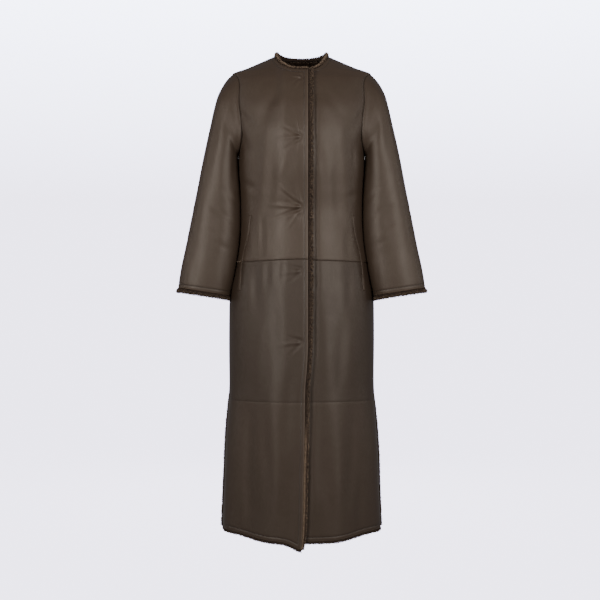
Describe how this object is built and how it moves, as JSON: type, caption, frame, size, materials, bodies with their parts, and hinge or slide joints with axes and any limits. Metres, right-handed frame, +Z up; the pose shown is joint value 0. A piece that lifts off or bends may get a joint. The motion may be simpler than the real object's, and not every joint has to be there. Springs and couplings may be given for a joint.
{
  "type": "shearling coat",
  "caption": "Long collarless shearling coat in dark brown leather with its wool inside, rolling out at the neck, front edge, cuffs, side slits and hem, closed down the front.",
  "frame": {"origin": "middle of the neck opening, at the height of the base of the wearer's neck, where the coat is held up", "axes": "+X to the wearer's left, -Y to the front, +Z up"},
  "size_m": [0.659, 0.3188, 1.2985],
  "materials": {
    "leather": "smooth dark brown leather with a soft sheen",
    "wool": "dense dark brown curled wool pile",
    "snap_metal": "dark metal press snaps"
  },
  "bodies": {
    "root": {"front_right_upper": "leather", "front_right_middle": "leather", "front_right_lower": "leather", "front_left_upper": "leather", "front_left_middle": "leather", "front_left_lower": "leather", "back_upper": "leather", "back_middle": "leather", "back_lower": "leather", "sleeve_right_front": "leather", "sleeve_right_back_upper": "leather", "sleeve_right_back_lower": "leather", "sleeve_left_front": "leather", "sleeve_left_back_upper": "leather", "sleeve_left_back_lower": "leather", "pocket_welt_right": "leather", "pocket_welt_left": "leather", "wool_front_right": "wool", "wool_front_left": "wool", "wool_back_neck": "wool", "wool_back_hem": "wool", "wool_cuff_right": "wool", "wool_cuff_left": "wool", "snap_stud_1": "snap_metal", "snap_stud_2": "snap_metal", "snap_stud_3": "snap_metal", "snap_stud_4": "snap_metal", "snap_stud_5": "snap_metal", "snap_socket_1": "snap_metal", "snap_socket_2": "snap_metal", "snap_socket_3": "snap_metal", "snap_socket_4": "snap_metal", "snap_socket_5": "snap_metal"}
  },
  "joints": []
}
